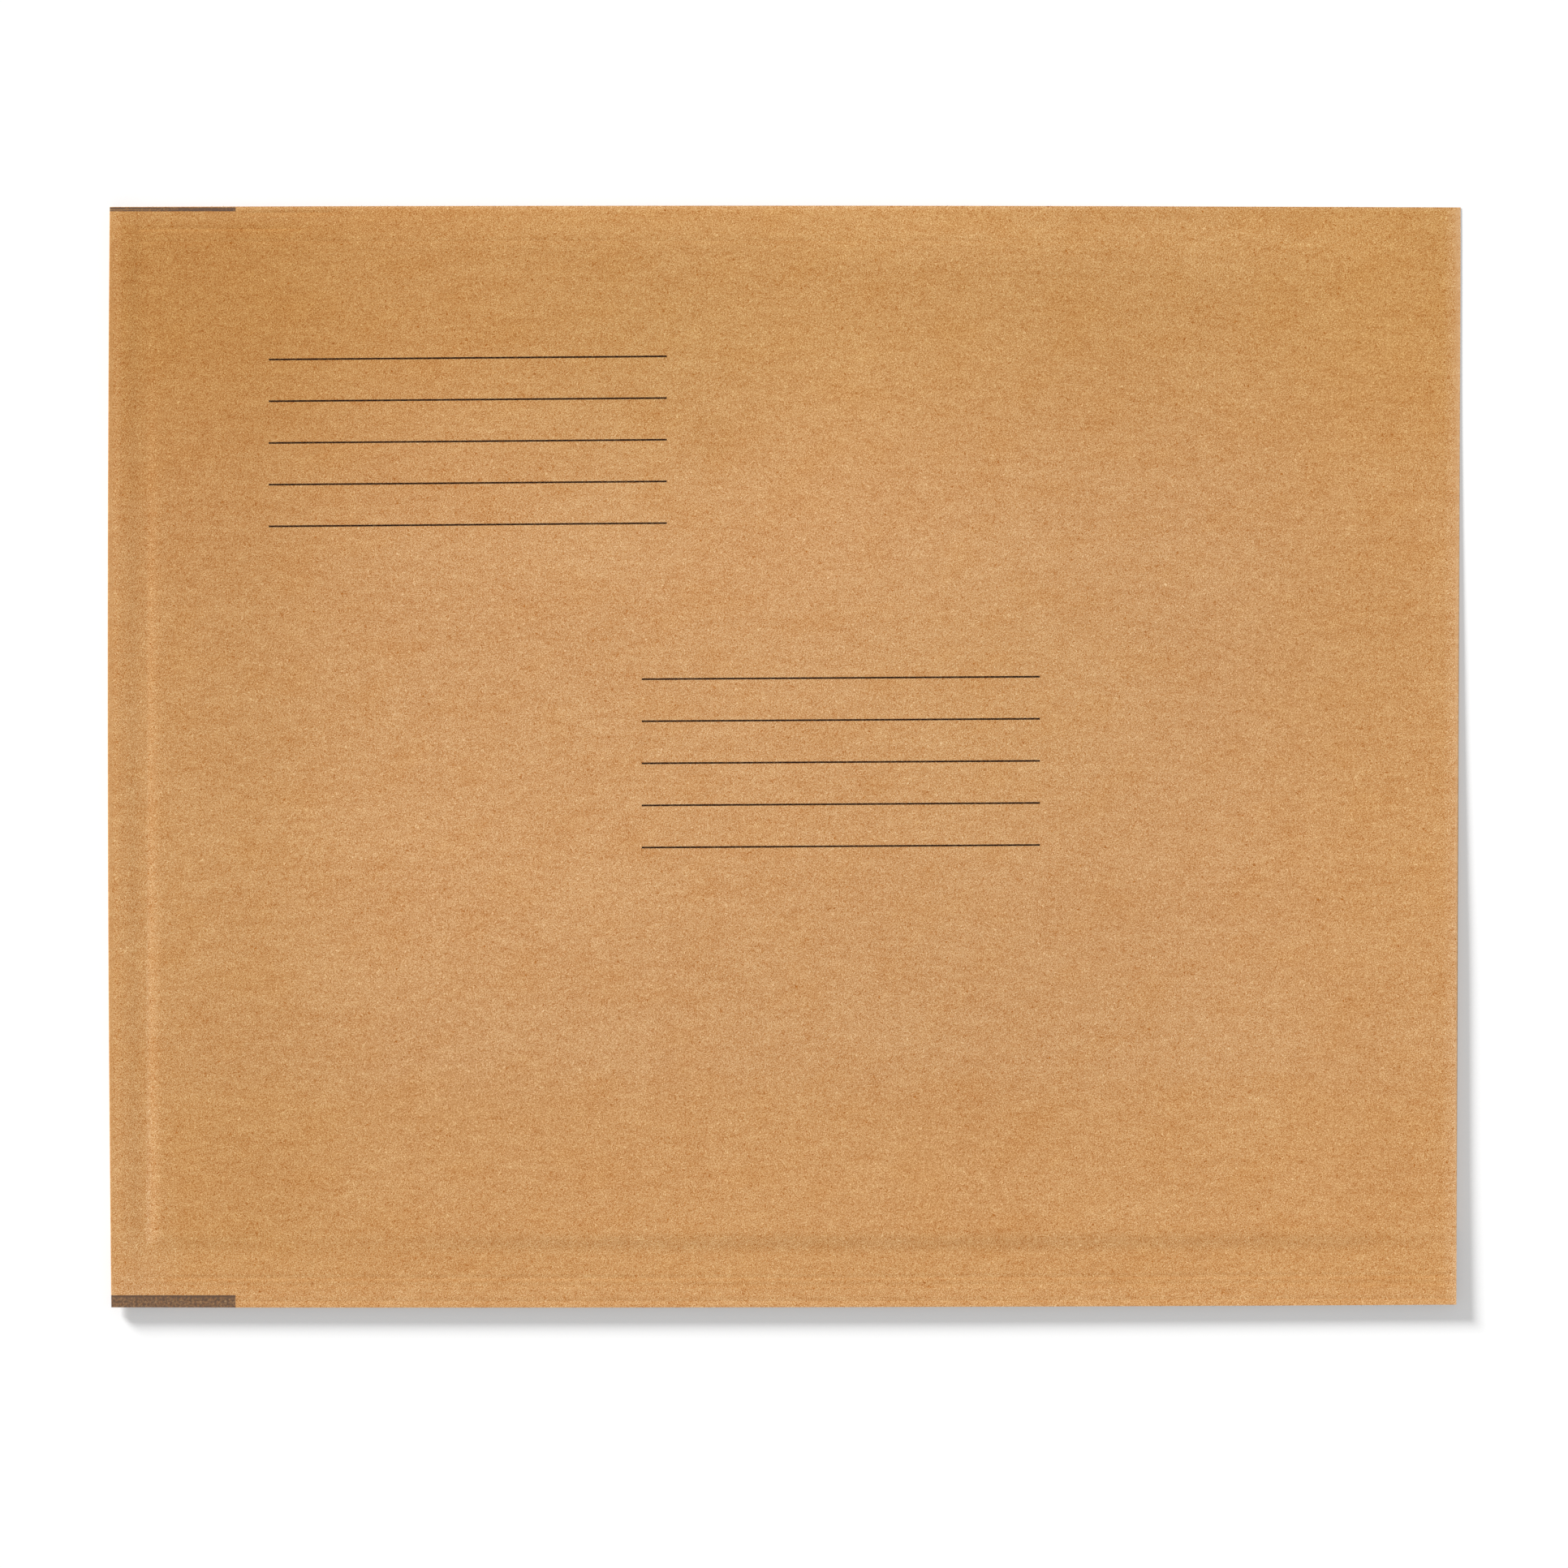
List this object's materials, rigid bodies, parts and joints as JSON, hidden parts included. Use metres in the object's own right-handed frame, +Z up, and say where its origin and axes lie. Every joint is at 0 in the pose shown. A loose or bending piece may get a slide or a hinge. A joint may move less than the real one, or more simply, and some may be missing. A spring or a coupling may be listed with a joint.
{
  "type": "padded mailer",
  "caption": "Flat kraft paper padded mailer with pressed side seams, a rounded foot fold, a turned-under flap with covered adhesive, and a folded fibre pad behind a paper liner.",
  "frame": {"origin": "middle of the footprint, on the surface that the mailer lies on", "axes": "+X from the turned-under flap's fold at the mouth to the rounded fold at the foot, +Y from one cut side seam to the other, +Z up out of the address face"},
  "size_m": [0.273, 0.222, 0.0048],
  "materials": {
    "kraft_wrap": "matte",
    "grey_fibre": "matte",
    "kraft_liner": "matte",
    "adhesive": "satin",
    "release_paper": "satin"
  },
  "bodies": {
    "root": {"outer_wrap": "kraft_wrap", "fibre_padding": "grey_fibre", "inner_liner": "kraft_liner", "adhesive_strip": "adhesive", "release_liner": "release_paper"}
  },
  "joints": []
}
